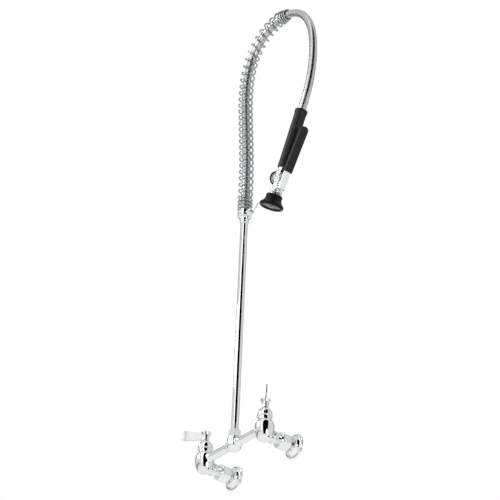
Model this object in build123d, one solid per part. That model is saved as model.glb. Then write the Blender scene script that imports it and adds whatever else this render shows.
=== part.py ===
from build123d import *
from math import cos, pi, radians, sin, tan
import os

# Wall-mounted pre-rinse faucet, in millimetres.
# Frame: the wall is the plane Y = 0, the user stands at -Y, Z is up and the
# two wall inlets lie on the X axis, each side of the origin.

# Driving dimensions of the valve body
valve_spacing = 203.2
valve_reach = 86.0
body_bottom = -15.0
barrel_top = 28.0
barrel_foot_r = 15.0
barrel_belly_r = 21.5
barrel_belly_z = 14.0
barrel_rim_r = 17.5
seat_z = 9.0
bridge_z = 14.0
bridge_r = 9.0
boss_r = 16.5
boss_top = 27.0
inlet_bore_r = 6.0

# Inlet arms, from the valve towards the wall
stub_r = 11.5
stub_end_y = -40.0
union_nut_flats = 35.0
gasket_t = 2.0
flange_r = 28.5
pipe_thread_r = 10.2
pipe_thread_length = 12.0

# Valve stem, bonnet and handle
cartridge_top = 38.5
bonnet_top = 61.0
bonnet_lip_r = 18.0
stem_r = 4.0
hub_bottom = 62.6
hub_top = 82.5
hub_foot_r = 7.5
hub_rim_r = 11.5
handle_splay = 52.0
blade_reach = 54.0

# Riser and the fitting at its top
riser_r = 8.55
riser_bore_r = 6.3
riser_bottom = 14.5
riser_top = 618.0
riser_nut_flats = 25.0
collar_bottom = 606.0
collar_top = 622.0
collar_r = 16.5
hose_start_z = 676.0

# Overhead spring and hose
hose_r = 9.5
wire_r = 2.0
coil_r = 15.6
open_pitch = 18.5
closed_pitch = 9.5
closed_turns = 3.5
coil_sides = 12

# Handset, in its own frame: origin at the centre of the bell's rim, z up the
# grip, x towards the squeeze lever
handset_x = 98.0
handset_z = 594.0
handset_tilt = 24.0
bell_r = 28.5
face_z = -4.0
neck_z = 26.0
plunger_z = 66.0
pivot_x = 15.0
pivot_z = 40.0
lever_angle = 7.0
lever_offset = 3.5
lever_width = 18.0
sheet_t = 1.6
sleeve_bottom = 90.0
sleeve_top = 237.0
sleeve_r = 14.0
ferrule_bottom = 215.0
ferrule_top = 230.0

# Fits
running = 0.05
slip = 0.1

# Stations of the hose's middle line in the X-Z plane through the riser
hose_route = [
    (0, 676), (0, 738), (-5, 812), (-12, 890), (-17, 962), (-13, 1028),
    (6, 1083), (41, 1119), (86, 1136), (132, 1134), (173, 1114),
    (204, 1079), (223, 1034), (230, 984), (229, 924),
]


def on_handset(shape):
    """Moves a shape from the handset's frame to its hooked place."""
    tilted = shape.rotate(Axis.Y, handset_tilt)
    return tilted.translate(Vector(handset_x, -valve_reach, handset_z))


def handset_point(x, y, z):
    """A point of the handset's frame in the part's frame."""
    tilt = radians(handset_tilt)
    return Vector(
        handset_x + x * cos(tilt) + z * sin(tilt),
        -valve_reach + y,
        handset_z - x * sin(tilt) + z * cos(tilt),
    )


def disc(radius, low, high, x=0.0, y=0.0):
    """Upright cylinder between two heights."""
    height = high - low
    return Pos(x, y, low + height / 2) * Cylinder(radius, height)


def ring(outer, inner, low, high):
    """Upright ring between two heights."""
    return disc(outer, low, high) - disc(inner, low - 1, high + 1)


def hexagon(flats, low, high):
    """Upright hexagonal bar with chamfered corners."""
    bar = extrude(Plane.XY.offset(low) * RegularPolygon(flats / 2, 6, major_radius=False), high - low)
    corner_r = flats / 2 / cos(pi / 6)
    edge = corner_r - flats / 2
    middle = (low + high) / 2
    half = (high - low) / 2
    limit = Polyline(
        (0, 0, middle - half), (flats / 2, 0, middle - half),
        (corner_r + 0.4, 0, middle - half + edge), (corner_r + 0.4, 0, middle + half - edge),
        (flats / 2, 0, middle + half), (0, 0, middle + half), close=True,
    )
    return bar & revolve(make_face(limit), Axis.Z)


def turned(*outline):
    """Solid of revolution about Z from (radius, height) corners."""
    corners = [(r, 0, z) for r, z in outline]
    return revolve(make_face(Polyline(*corners, close=True)), Axis.Z)


def along_y(shape, x, y):
    """Turns an upright shape so that its top points to the wall."""
    return shape.rotate(Axis.X, -90).translate(Vector(x, y, 0))


def along_x(shape, z):
    """Turns an upright handset shape so that its top points to the lever."""
    return shape.rotate(Axis.Y, 90).translate(Vector(0, 0, z))


def wire_along(path, radius):
    """Round wire along a path, with mitred corners."""
    start = path @ 0
    section = Plane(origin=start, z_dir=path % 0) * Circle(radius)
    return sweep(section, path=path, transition=Transition.RIGHT)


# ---------------------------------------------------------------- valve body

def barrel():
    """Outside of one valve barrel: a goblet, widest near its top."""
    with BuildPart() as part:
        with BuildSketch(Plane.XZ):
            with BuildLine():
                Polyline((0, body_bottom), (barrel_foot_r - 2, body_bottom), (barrel_foot_r, body_bottom + 2))
                ThreePointArc((barrel_foot_r, body_bottom + 2), (19.9, 0), (barrel_belly_r, barrel_belly_z))
                ThreePointArc((barrel_belly_r, barrel_belly_z), (20.7, 22), (barrel_rim_r, barrel_top))
                Polyline((barrel_rim_r, barrel_top), (0, barrel_top), (0, body_bottom))
            make_face()
        revolve(axis=Axis.Z)
    return part.part


def riser_boss():
    """Round boss in the middle of the bridge, with a threaded neck for the riser's nut."""
    with BuildPart() as part:
        with BuildSketch(Plane.XZ):
            with BuildLine():
                Polyline((0, 40), (0, -1.5), (6, -1.5))
                ThreePointArc((6, -1.5), (13.2, 1.8), (boss_r, 9))
                Polyline((boss_r, 9), (boss_r, boss_top - 2), (boss_r - 2, boss_top), (10.9, boss_top))
                Polyline((10.9, boss_top), (10.9, 40), (0, 40))
            make_face()
        revolve(axis=Axis.Z)
    return part.part


def mixing_body():
    """Both barrels, their inlet stubs, the bridge and the riser boss in one casting."""
    half = valve_spacing / 2
    solid = Pos(0, -valve_reach, bridge_z) * Rot(0, 90, 0) * Cylinder(bridge_r, valve_spacing)
    solid += riser_boss().translate(Vector(0, -valve_reach, 0))
    for x in (-half, half):
        stub_length = stub_end_y + valve_reach
        stub = disc(stub_r, 0, stub_length) + turned(
            (0, 20), (14, 20), (15, 21), (15, 26), (14, 27), (0, 27),
        )
        solid += barrel().rotate(Axis.Z, -50).translate(Vector(x, -valve_reach, 0))
        solid += along_y(stub, x, -valve_reach)
    for x in (-half, half):
        solid -= disc(10.6, body_bottom + 4, seat_z - 2.2, x, -valve_reach)
        solid -= disc(5.5, seat_z - 4, seat_z + 1, x, -valve_reach)
        solid -= disc(10.6, seat_z, barrel_top - 8.8, x, -valve_reach)
        solid -= disc(14, barrel_top - 9, barrel_top + 1, x, -valve_reach)
        solid -= along_y(disc(inlet_bore_r, 3, valve_reach), x, -valve_reach)
    solid -= Pos(0, -valve_reach, bridge_z) * Rot(0, 90, 0) * Cylinder(4.8, valve_spacing)
    riser_bores = disc(riser_bore_r, bridge_z, 20) + disc(riser_r + 0.08, riser_bottom, 41)
    solid -= (riser_bores + disc(9.9, 33, 41)).translate(Vector(0, -valve_reach, 0))
    return solid


def riser_nut():
    """Gland nut that holds the riser in its boss and lets it turn."""
    nut = hexagon(riser_nut_flats, 30, 47)
    nut -= disc(10.9 + running, 29, 41) + disc(riser_r + 0.08, 40, 48)
    return nut.translate(Vector(0, -valve_reach, 0))


def riser_seal():
    """Rubber packing round the riser, under its gland nut."""
    return ring(9.85, riser_r + running, 33, 38).translate(Vector(0, -valve_reach, 0))


def riser_gland():
    """Brass washer between the packing and the gland nut."""
    return ring(9.85, riser_r + running, 38, 41).translate(Vector(0, -valve_reach, 0))


# ---------------------------------------------------------------- inlet arms

def union_nut(x):
    """Hexagonal union nut between the body's stub and the inlet arm."""
    nut = hexagon(union_nut_flats, 0, 24)
    nut -= disc(stub_r + running, -1, 6) + disc(14.2, 6, 14) + disc(stub_r + running, 13, 25)
    return along_y(nut, x, stub_end_y - 6)


def union_gasket(x):
    """Flat rubber gasket inside the union."""
    return along_y(ring(13.6, inlet_bore_r + 1, 0, gasket_t), x, stub_end_y)


def inlet_arm(x):
    """Short pipe from the union to the wall thread."""
    start = stub_end_y + gasket_t
    length = -start
    outline = turned(
        (0, 0), (13.9, 0), (13.9, 4), (stub_r, 4), (stub_r, length - 14), (15, length - 12),
        (15, length), (0, length),
    )
    outline -= disc(inlet_bore_r + 1, -1, length)
    outline -= disc(pipe_thread_r, length - pipe_thread_length, length + 1)
    return along_y(outline, x, start)


def wall_flange(x):
    """Domed escutcheon that covers the hole in the wall."""
    with BuildPart() as part:
        with BuildSketch(Plane.XZ):
            with BuildLine():
                Polyline((15 + slip, 0), (15 + slip, 15), (17.5, 15), (18.5, 14))
                ThreePointArc((18.5, 14), (20.8, 6.6), (flange_r - 1, 3.2))
                Polyline((flange_r - 1, 3.2), (flange_r, 2.4), (flange_r, 0), (15 + slip, 0))
            make_face()
        revolve(axis=Axis.Z)
    return part.part.rotate(Axis.X, 90).translate(Vector(x, 0, 0))


# ---------------------------------------------------------------- valves and handles

def cartridge(x):
    """Threaded brass sleeve that guides the stem and the plunger."""
    top = cartridge_top
    body = disc(14 - running, barrel_top - 8.5, barrel_top + 0.5)
    body += disc(15, barrel_top, top) + disc(13, top - 1, top + 6)
    body -= disc(9, barrel_top - 9, top - 10) + disc(7, top - 5, top + 7)
    body -= disc(stem_r + running, top - 12, top + 7)
    return body.translate(Vector(x, -valve_reach, 0))


def stem(x):
    """Spindle with a collar that keeps it in the cartridge."""
    spindle = disc(stem_r, seat_z + 9, 72) + disc(6.5, cartridge_top - 13, cartridge_top - 10.2)
    spindle -= disc(2, 61, 73)
    return spindle.translate(Vector(x, -valve_reach, 0))


def stem_packing(x):
    """Rubber packing ring round the stem."""
    packing = ring(6.95, stem_r + running, cartridge_top - 5, cartridge_top + 2)
    return packing.translate(Vector(x, -valve_reach, 0))


def packing_gland(x):
    """Brass gland that presses the packing down."""
    gland = ring(6.95, stem_r + running, cartridge_top + 2, cartridge_top + 7)
    return gland.translate(Vector(x, -valve_reach, 0))


def bonnet(x):
    """Domed bonnet over the cartridge, with a rolled lip."""
    with BuildPart() as part:
        with BuildSketch(Plane.XZ):
            with BuildLine():
                Polyline((13 + running, cartridge_top), (bonnet_lip_r - 0.6, cartridge_top))
                ThreePointArc((bonnet_lip_r - 0.6, cartridge_top), (bonnet_lip_r, 39.7), (bonnet_lip_r - 0.8, 40.9))
                ThreePointArc((bonnet_lip_r - 0.8, 40.9), (15.2, 52), (7.6, bonnet_top))
                Polyline((7.6, bonnet_top), (stem_r + 0.6, bonnet_top), (stem_r + 0.6, 58.8), (7, 58.6))
                ThreePointArc((7, 58.6), (11.6, 54), (13 + running, 45.5))
                Line((13 + running, 45.5), (13 + running, cartridge_top))
            make_face()
        revolve(axis=Axis.Z)
    return part.part.translate(Vector(x, -valve_reach, 0))


def valve_plunger(x):
    """Brass plunger that carries the seat washer."""
    body = disc(9 - running, seat_z + 3, seat_z + 12) + disc(2, seat_z + 0.6, seat_z + 4)
    body -= disc(stem_r + running, seat_z + 4.6, seat_z + 13)
    return body.translate(Vector(x, -valve_reach, 0))


def seat_washer(x):
    """Rubber washer that closes on the seat."""
    return ring(8, 2, seat_z, seat_z + 3).translate(Vector(x, -valve_reach, 0))


def handle(x):
    """Flared hub with a thin upright blade that widens to its tip."""
    with BuildPart() as part:
        with BuildSketch(Plane.XZ):
            with BuildLine():
                Line((0, hub_bottom), (hub_foot_r, hub_bottom))
                ThreePointArc((hub_foot_r, hub_bottom), (8.4, 73), (hub_rim_r - 0.6, hub_top - 1.4))
                Polyline((hub_rim_r - 0.6, hub_top - 1.4), (hub_rim_r, hub_top - 0.6), (hub_rim_r - 0.4, hub_top))
                Polyline((hub_rim_r - 0.4, hub_top), (0, hub_top), (0, hub_bottom))
            make_face()
        revolve(axis=Axis.Z)
    hub = part.part
    side = Polyline(
        (4, 0, 64.5), (30, 0, 65.5), (blade_reach - 3, 0, 66.8), (blade_reach, 0, 69.6),
        (blade_reach, 0, 90), (blade_reach - 3, 0, 92.7), (30, 0, 86.4), (4, 0, 80.5), close=True,
    )
    blade = extrude(make_face(side), 1.7, both=True)
    rim = Pos(blade_reach - 2.2, 0, 79.8) * Cylinder(3.0, 18)
    rim += Pos(blade_reach - 2.2, 0, 88.8) * Sphere(3.0)
    rim += Pos(blade_reach - 2.2, 0, 70.8) * Sphere(3.0)
    lever = hub + blade + rim
    lever -= disc(stem_r + running, hub_bottom - 1, 72) + disc(2.1, 71, 76) + disc(8, 75, hub_top + 1)
    heading = -90 + handle_splay if x > 0 else -90 - handle_splay
    return lever.rotate(Axis.Z, heading).translate(Vector(x, -valve_reach, 0))


def handle_screw(x):
    """Screw that holds the handle on the stem."""
    screw = disc(2 - running, 62, 75) + disc(3.8, 75, 77.6) - Pos(0, 0, 77.4) * Box(5.4, 0.9, 1.4)
    return screw.translate(Vector(x, -valve_reach, 0))


def index_button(x):
    """Plain domed cap in the top of the hub, red for hot and blue for cold."""
    dome = Pos(0, 0, 62) * Sphere(22)
    button = disc(7.9, 78.6, 85) & dome
    return button.translate(Vector(x, -valve_reach, 0))


# ---------------------------------------------------------------- riser and its top

def riser_pipe():
    """Straight riser from the boss to the spring seat."""
    return ring(riser_r, riser_bore_r, riser_bottom, riser_top).translate(Vector(0, -valve_reach, 0))


def spring_seat():
    """Turned fitting on the riser's top that the spring stands round."""
    seat = turned(
        (0, 590), (9.9, 590), (10.6, 590.7), (10.6, 602), (12.9, 604.5),
        (12.9, 636), (9, 638), (9, 648), (0, 648),
    )
    seat -= disc(riser_r, 589, riser_top) + disc(4.5, 610, 649)
    return seat.translate(Vector(0, -valve_reach, 0))


def hook_collar():
    """Collar under the spring, with a round boss for the hook's wire."""
    collar = turned(
        (0, collar_bottom), (collar_r - 1, collar_bottom), (collar_r, collar_bottom + 1),
        (collar_r, collar_top - 1), (collar_r - 1, collar_top), (0, collar_top),
    )
    collar += Pos(18, 0, 614) * Rot(0, 90, 0) * Cylinder(7.9, 18)
    collar -= disc(12.9, collar_bottom - 1, collar_top + 1)
    collar -= Pos(22.5, 0, 614) * Rot(0, 90, 0) * Cylinder(2.5, 15)
    collar -= Pos(21.5, -6, 614) * Rot(90, 0, 0) * Cylinder(1.5, 12)
    return collar.translate(Vector(0, -valve_reach, 0))


def hook_screw():
    """Set screw that clamps the hook's wire in its boss."""
    screw = Pos(21.5, -2.6 - 2.4, 614) * Rot(90, 0, 0) * Cylinder(1.5, 4.8)
    return screw.translate(Vector(0, -valve_reach, 0))


def finger_hook():
    """Bent wire: a shank out of the collar and an open ring round the handset's neck."""
    level = neck_z + 4
    reach = 13.1
    path = FilletPolyline(
        Vector(15.5, -valve_reach, 614), Vector(33, -valve_reach, 614), Vector(46, -valve_reach + 2, 628),
        Vector(74, -valve_reach + 9, 630),
        handset_point(-15, reach, level), handset_point(reach, reach, level),
        handset_point(reach, -reach, level), handset_point(-1, -reach, level),
        radius=[7, 7, 9, 12, 12.9, 12.9],
    )
    return wire_along(path, 2.5)


def hose_nut():
    """Round nut that holds the hose's lower end on the spring seat."""
    nut = ring(12.6, 9 + running, 638, 649.5) + ring(12.6, 6, 649.5, 654)
    return nut.translate(Vector(0, -valve_reach, 0))


def hose_washer():
    """Rubber washer between the spring seat and the hose's lower end."""
    return ring(8.9, 4.6, 648, 649.5).translate(Vector(0, -valve_reach, 0))


def lower_ferrule():
    """Crimped steel ferrule at the hose's lower end."""
    ferrule = disc(5.9, 649.5, 655) + turned(
        (0, 654), (10.6, 654), (11.2, 656), (11.2, 674), (10.6, hose_start_z), (0, hose_start_z),
    )
    ferrule -= disc(4.5, 649, hose_start_z + 1)
    return ferrule.translate(Vector(0, -valve_reach, 0))


# ---------------------------------------------------------------- hose and spring

def hose_line():
    """Middle line of the hose: straight runs joined by tangent arcs."""
    corners = [Vector(x, -valve_reach, z) for x, z in hose_route]
    corners.append(handset_point(0, 0, ferrule_top + 60))
    corners.append(handset_point(0, 0, ferrule_top))
    radii = []
    for before, corner, after in zip(corners, corners[1:], corners[2:]):
        first, second = corner - before, after - corner
        turn = radians(first.get_angle(second))
        radii.append(0.45 * min(first.length, second.length) / tan(turn / 2))
    print("hose radii", [round(radius) for radius in radii])
    print("hose runs", [round((b - a).length) for a, b in zip(corners, corners[1:])])
    return FilletPolyline(*corners, radius=radii)


def hose(line):
    """Flexible hose, as a plain round solid."""
    section = Plane(origin=line @ 0, z_dir=line % 0) * Circle(hose_r)
    tube = sweep(section, path=line)
    print("hose length", round(line.length, 1), "volume ratio", tube.volume / (pi * hose_r ** 2 * line.length))
    return tube


def overhead_spring(line):
    """Left-hand coil spring that stands on the collar and follows the hose."""
    below = hose_start_z - collar_top - wire_r
    last = below + 555.0
    points = []
    angle = 0.0
    travel = 0.0
    step = 360.0 / coil_sides
    while travel < last:
        turns = angle / 360.0
        radius = coil_r
        if last - travel < 26:
            radius = 12.2 + (coil_r - 12.2) * max(0.0, (last - travel - 6) / 20)
        if travel < below:
            centre = Vector(0, -valve_reach, collar_top + wire_r + travel)
            forward = Vector(0, 0, 1)
        else:
            share = (travel - below) / line.length
            centre = line.position_at(share)
            forward = line.tangent_at(share)
        side = forward.cross(Vector(0, 1, 0))
        turn = radians(-angle)
        points.append(centre + side * (radius * cos(turn)) + Vector(0, -1, 0) * (radius * sin(turn)))
        pitch = closed_pitch if turns < closed_turns else open_pitch
        if last - travel < 26:
            pitch = 6.5
        travel += pitch / coil_sides
        angle += step
    return wire_along(Polyline(*points), wire_r)


# ---------------------------------------------------------------- handset

def spray_face():
    """Perforated spray disc inside the bell."""
    plate = disc(19.9, face_z, face_z + 2.4)
    plate -= disc(2.2, face_z - 1, face_z + 4)
    for count, radius in ((8, 8.5), (14, 13.2), (20, 18)):
        for k in range(count):
            turn = 2 * pi * k / count
            plate -= disc(1.0, face_z - 1, face_z + 4, radius * cos(turn), radius * sin(turn))
    return plate


def face_screw():
    """Screw in the middle of the spray disc."""
    screw = disc(4, face_z - 2.2, face_z) + disc(2, face_z - 1, face_z + 9)
    return screw - Pos(0, 0, face_z - 2.2) * Box(6, 1, 1.2)


def nozzle_cup():
    """Metal cup that feeds the spray disc and screws on the valve body."""
    foot = face_z
    cup = turned(
        (0, foot + 10), (9.2, foot + 10), (20, foot + 2.6), (20, foot), (22, foot), (22, foot + 4),
        (12.4, foot + 14.5), (12.4, neck_z), (0, neck_z),
    )
    cup -= disc(8 + running, foot + 17, neck_z + 1)
    cup += disc(4, foot + 2.5, foot + 11)
    cup -= disc(2 + running, foot + 2, foot + 10)
    for k in range(6):
        turn = 2 * pi * k / 6
        cup -= disc(1.4, foot + 5, foot + 18, 6.2 * cos(turn), 6.2 * sin(turn))
    return cup


def spray_bell():
    """Black rubber bumper round the nozzle cup."""
    with BuildPart() as part:
        with BuildSketch(Plane.XZ):
            with BuildLine():
                Polyline((12.4, neck_z - 2.5), (16.8, neck_z - 2.5))
                ThreePointArc((16.8, neck_z - 2.5), (18.4, neck_z - 3.2), (19.2, neck_z - 5))
                ThreePointArc((19.2, neck_z - 5), (20.4, 10.6), (26.2, 1.8))
                ThreePointArc((26.2, 1.8), (bell_r, -2.4), (26.6, -6.4))
                Polyline((26.6, -6.4), (25, -7), (22.5, -7), (22, -6), (22, face_z + 4), (12.4, face_z + 14.5))
                Line((12.4, face_z + 14.5), (12.4, neck_z - 2.5))
            make_face()
        revolve(axis=Axis.Z)
    return part.part


def neck_ring():
    """Chrome lock ring above the hook's groove."""
    return ring(14, 10 + running, neck_z + 7, neck_z + 9.5)


def valve_body():
    """Chrome casting: upright waterway with a cross bore for the plunger."""
    body = disc(8, face_z + 19, neck_z + 1) + disc(10, neck_z, 52) + disc(11, 42, 100)
    body += along_x(disc(13.5, -14, 11), plunger_z)
    lug = Box(16, 14.2, 12, align=(Align.MIN, Align.CENTER, Align.CENTER)).translate(Vector(2, 0, 43))
    body += lug & disc(18.6, 35, 51)
    body -= along_x(disc(10, -15, -2), plunger_z)
    body -= along_x(disc(5, -3, 6), plunger_z) + along_x(disc(2.5 + running, 5, 30), plunger_z)
    body -= disc(3.4, plunger_z, 101, -6, 0)
    body -= disc(3, face_z + 18, plunger_z, 4, 0)
    body -= disc(9, 86, 101)
    body -= Pos(pivot_x, 0, pivot_z) * Rot(90, 0, 0) * Cylinder(2, 40)
    return body


def plunger():
    """Plunger: the lever pushes its tip and its disc leaves the seat."""
    tip = pivot_x + lever_offset / cos(radians(lever_angle))
    tip += (plunger_z - pivot_z) * tan(radians(lever_angle)) - 0.15
    rod = disc(2.5, -9, tip - 2.5) + disc(7, -7, -4.6) + Pos(0, 0, tip - 2.5) * Sphere(2.5)
    return along_x(rod, plunger_z)


def plunger_washer():
    """Rubber washer on the plunger's disc."""
    return along_x(ring(7, 2.5, -4.6, -2), plunger_z)


def plunger_seal():
    """Rubber ring that seals the plunger on the lever's side."""
    return along_x(ring(4.95, 2.5 + running, 3, 6), plunger_z)


def plunger_spring():
    """Small compression spring between the bonnet and the plunger's disc."""
    points = []
    for k in range(5 * 10 + 1):
        turn = 2 * pi * k / 10
        points.append(Vector(4.6 * cos(turn), 4.6 * sin(turn), -15.4 + 7.7 * k / 50))
    return along_x(wire_along(Polyline(*points), 0.5), plunger_z)


def valve_bonnet():
    """Domed cap that closes the cross bore, opposite the lever."""
    cap = turned(
        (0, -26), (8, -25.2), (13, -22.4), (15, -19), (15, -15), (14.2, -14), (9.95, -14), (9.95, -9.5),
        (7.4, -9.5), (7.4, -16), (0, -16),
    )
    return along_x(cap, plunger_z)


def lever_profile(low, high, outside, depth):
    """A bent sheet channel, open to the grip, between two heights above the pivot."""
    half = lever_width / 2
    middle = (low + high) / 2
    back = Box(sheet_t, lever_width, high - low).translate(Vector(outside + sheet_t / 2, 0, middle))
    walls = back
    for y in (-half + sheet_t / 2, half - sheet_t / 2):
        across = outside + sheet_t - depth / 2
        walls += Box(depth, sheet_t, high - low).translate(Vector(across, y, middle))
    return walls


def at_pivot(shape):
    """Moves a lever shape from the pivot's frame into the handset's."""
    return shape.rotate(Axis.Y, lever_angle).translate(Vector(pivot_x, 0, pivot_z))


def squeeze_lever():
    """Pressed steel lever, hinged at the neck, with ears round the valve body's lug."""
    channel = lever_profile(-1.5, 149, lever_offset, 5.6)
    half = lever_width / 2
    for y in (-half + sheet_t / 2, half - sheet_t / 2):
        ear = Pos(0, y, 0) * Rot(90, 0, 0) * Cylinder(4, sheet_t)
        web = Box(lever_offset + 1, sheet_t, 7).translate(Vector((lever_offset + 1) / 2, y, 0.5))
        channel += ear + web
    channel -= Rot(90, 0, 0) * Cylinder(2 + running, 40)
    return at_pivot(channel)


def lever_grip():
    """Black moulded cover on the lever's upper part."""
    outer = Box(8.4, 21, 113).translate(Vector(lever_offset - 0.6, 0, 40 + 56.5))
    ends = outer.edges().filter_by(Axis.X).sort_by(Axis.Z)[-2:]
    outer = fillet(ends, 9.5)
    face_edges = outer.faces().sort_by(Axis.X)[-1].edges()
    outer = fillet(face_edges, 2.4)
    slot = Box(5.65, lever_width, 110).translate(Vector(lever_offset + sheet_t - 5.65 / 2, 0, 39 + 55))
    inside = Box(6, lever_width - 2 * sheet_t, 108.4).translate(Vector(lever_offset - 3, 0, 39 + 54.2))
    return at_pivot(outer - slot - inside)


def pivot_pin():
    """Pin that the lever turns on."""
    pin = Rot(90, 0, 0) * Cylinder(2, lever_width + 1)
    for y in (-lever_width / 2 - 0.85, lever_width / 2 + 0.85):
        pin += Pos(0, y, 0) * Rot(90, 0, 0) * Cylinder(3.2, 1.4)
    return pin.translate(Vector(pivot_x, 0, pivot_z))


def handle_tube():
    """Steel tube inside the grip, from the valve body to the hose."""
    return ring(9, 6, 86, ferrule_bottom)


def grip_sleeve():
    """Black moulded grip with a slightly wider top."""
    sleeve = turned(
        (0, sleeve_bottom), (sleeve_r - 1, sleeve_bottom), (sleeve_r, sleeve_bottom + 2),
        (sleeve_r, sleeve_top - 12), (sleeve_r + 0.9, sleeve_top - 8), (sleeve_r + 0.9, sleeve_top - 2),
        (sleeve_r - 0.6, sleeve_top), (0, sleeve_top),
    )
    sleeve -= disc(11 + running, sleeve_bottom - 1, 100) + disc(9 + running, 99, ferrule_bottom)
    sleeve -= disc(10.6, ferrule_bottom, sleeve_top + 1)
    return sleeve


def upper_ferrule():
    """Crimped steel ferrule at the hose's upper end, inside the grip."""
    return ring(10.5, 5, ferrule_bottom, ferrule_top)


# ---------------------------------------------------------------- all the nodes

def all_nodes():
    """Every separate piece, by name."""
    half = valve_spacing / 2
    line = hose_line()
    nodes = {
        "mixing_body": mixing_body(),
        "riser_gland_nut": riser_nut(),
        "riser_packing": riser_seal(),
        "riser_gland_washer": riser_gland(),
        "riser_pipe": riser_pipe(),
        "spring_seat": spring_seat(),
        "hook_collar": hook_collar(),
        "hook_set_screw": hook_screw(),
        "finger_hook": finger_hook(),
        "hose_nut": hose_nut(),
        "hose_washer": hose_washer(),
        "lower_ferrule": lower_ferrule(),
        "hose": hose(line),
        "overhead_spring": overhead_spring(line),
    }
    sided = {
        "union_nut": union_nut, "union_gasket": union_gasket, "inlet_arm": inlet_arm,
        "wall_flange": wall_flange, "cartridge": cartridge, "stem": stem,
        "stem_packing": stem_packing, "packing_gland": packing_gland, "bonnet": bonnet,
        "valve_plunger": valve_plunger, "seat_washer": seat_washer, "handle": handle,
        "handle_screw": handle_screw, "index_button": index_button,
    }
    for name, make in sided.items():
        nodes["left_" + name] = make(-half)
        nodes["right_" + name] = make(half)
    on_hand = {
        "spray_face": spray_face, "face_screw": face_screw, "nozzle_cup": nozzle_cup,
        "spray_bell": spray_bell, "neck_ring": neck_ring, "valve_body": valve_body,
        "plunger": plunger, "plunger_washer": plunger_washer, "plunger_seal": plunger_seal,
        "plunger_spring": plunger_spring, "valve_bonnet": valve_bonnet,
        "squeeze_lever": squeeze_lever, "lever_grip": lever_grip, "pivot_pin": pivot_pin,
        "handle_tube": handle_tube, "grip_sleeve": grip_sleeve, "upper_ferrule": upper_ferrule,
    }
    for name, make in on_hand.items():
        nodes[name] = on_handset(make())
    return nodes


os.makedirs("parts", exist_ok=True)
for name, shape in all_nodes().items():
    export_step(shape, "parts/" + name + ".step")
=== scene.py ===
import bmesh
import bpy
import math
from mathutils import Matrix, Vector


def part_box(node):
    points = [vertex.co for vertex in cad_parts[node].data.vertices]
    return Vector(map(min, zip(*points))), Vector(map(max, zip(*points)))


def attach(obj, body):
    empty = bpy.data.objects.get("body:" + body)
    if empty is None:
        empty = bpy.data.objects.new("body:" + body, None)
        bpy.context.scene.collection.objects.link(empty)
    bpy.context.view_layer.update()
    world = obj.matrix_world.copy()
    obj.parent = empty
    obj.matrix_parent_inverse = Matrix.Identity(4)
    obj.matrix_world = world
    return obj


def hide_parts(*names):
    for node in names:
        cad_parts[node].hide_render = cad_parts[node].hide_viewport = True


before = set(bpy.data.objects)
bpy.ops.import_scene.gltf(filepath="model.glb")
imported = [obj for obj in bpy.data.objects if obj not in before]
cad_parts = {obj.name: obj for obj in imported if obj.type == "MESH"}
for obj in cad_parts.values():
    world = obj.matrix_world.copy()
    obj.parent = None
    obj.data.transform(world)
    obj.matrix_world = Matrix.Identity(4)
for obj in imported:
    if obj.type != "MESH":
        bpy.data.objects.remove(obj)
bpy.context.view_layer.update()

# ---------------------------------------------------------------- camera
# The camera stands on the user's side, to the right and well below the
# faucet, and looks up at it through a long lens.
MM = 0.001
reach_y = sum(corner.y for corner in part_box("riser_pipe")) / 2 / MM
sight_azimuth = math.radians(51.5)
sight_elevation = math.radians(-33.5)
sight_roll = -0.0432
sight_distance = 5.007
aim = Vector((0.0258, reach_y * MM, 0.5055))
ahead = Vector((
    -math.sin(sight_azimuth) * math.cos(sight_elevation),
    math.cos(sight_azimuth) * math.cos(sight_elevation),
    -math.sin(sight_elevation),
))
level_right = Vector((math.cos(sight_azimuth), math.sin(sight_azimuth), 0))
level_up = level_right.cross(ahead)
right = level_right * math.cos(sight_roll) - level_up * math.sin(sight_roll)
lens = bpy.data.cameras.new("camera")
lens.sensor_width = 36
lens.lens = 158.4
lens.clip_end = 100
camera = bpy.data.objects.new("camera", lens)
bpy.context.scene.collection.objects.link(camera)
camera.matrix_world = Matrix.Translation(aim - ahead * sight_distance) @ Matrix(
    (right, right.cross(ahead), -ahead)
).transposed().to_4x4()
bpy.context.scene.camera = camera

# ---------------------------------------------------------------- studio
# A white room much larger than the faucet, with a pale floor far below it.
# The bright metal reflects a softer grey room, one white panel and dark cards.
bpy.context.scene.view_settings.view_transform = "Standard"
world = bpy.data.worlds.new("white room")
world.use_nodes = True
bpy.context.scene.world = world
sky = world.node_tree.nodes["Background"]
sky.inputs["Color"].default_value = (1.0, 1.0, 1.0, 1.0)
ray = world.node_tree.nodes.new("ShaderNodeLightPath")
brightness = world.node_tree.nodes.new("ShaderNodeMapRange")
brightness.inputs["To Min"].default_value = 1.0
brightness.inputs["To Max"].default_value = 0.72
world.node_tree.links.new(ray.outputs["Is Glossy Ray"], brightness.inputs["Value"])
world.node_tree.links.new(brightness.outputs["Result"], sky.inputs["Strength"])


def stage_sheet(name, place, width, height, tone, strength=1.0):
    """A flat glowing sheet of the studio: the floor, a panel or a card."""
    bm = bmesh.new()
    bmesh.ops.create_grid(bm, x_segments=1, y_segments=1, size=0.5)
    data = bpy.data.meshes.new(name)
    bm.to_mesh(data)
    bm.free()
    sheet = bpy.data.objects.new(name, data)
    sheet.matrix_world = place @ Matrix.Diagonal((width, height, 1, 1))
    bpy.context.scene.collection.objects.link(sheet)
    paint = bpy.data.materials.new(name)
    paint.use_nodes = True
    glow = paint.node_tree.nodes.new("ShaderNodeEmission")
    glow.inputs["Color"].default_value = (tone, tone, tone, 1.0)
    glow.inputs["Strength"].default_value = strength
    paint.node_tree.links.new(glow.outputs["Emission"],
                              paint.node_tree.nodes["Material Output"].inputs["Surface"])
    data.materials.append(paint)
    return sheet


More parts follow.
